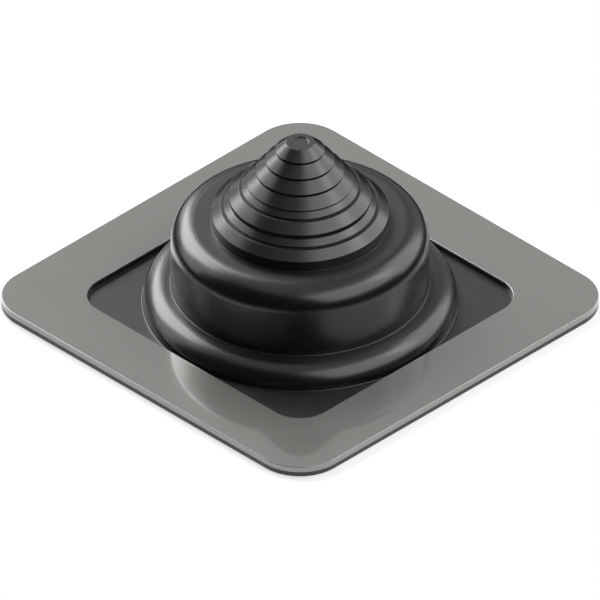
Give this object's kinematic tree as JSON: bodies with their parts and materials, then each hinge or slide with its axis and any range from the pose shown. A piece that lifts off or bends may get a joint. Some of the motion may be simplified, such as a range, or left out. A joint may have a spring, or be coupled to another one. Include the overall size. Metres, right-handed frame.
{
  "type": "pipe flashing boot",
  "caption": "Square roof flashing for a pipe: a rubber boot with a tiered round dome and a stepped cone, under a flat metal frame with rounded corners.",
  "frame": {"origin": "middle of the underside, on the roof's surface", "axes": "+Z along the pipe, out of the roof; X and Y along the sides of the square base"},
  "size_m": [0.2, 0.2, 0.0882],
  "materials": {
    "epdm_rubber": "smooth moulded EPDM, satin black",
    "aluminium_frame": "satin grey, brushed by rolling"
  },
  "bodies": {
    "root": {"boot": "epdm_rubber", "frame": "aluminium_frame"}
  },
  "joints": []
}
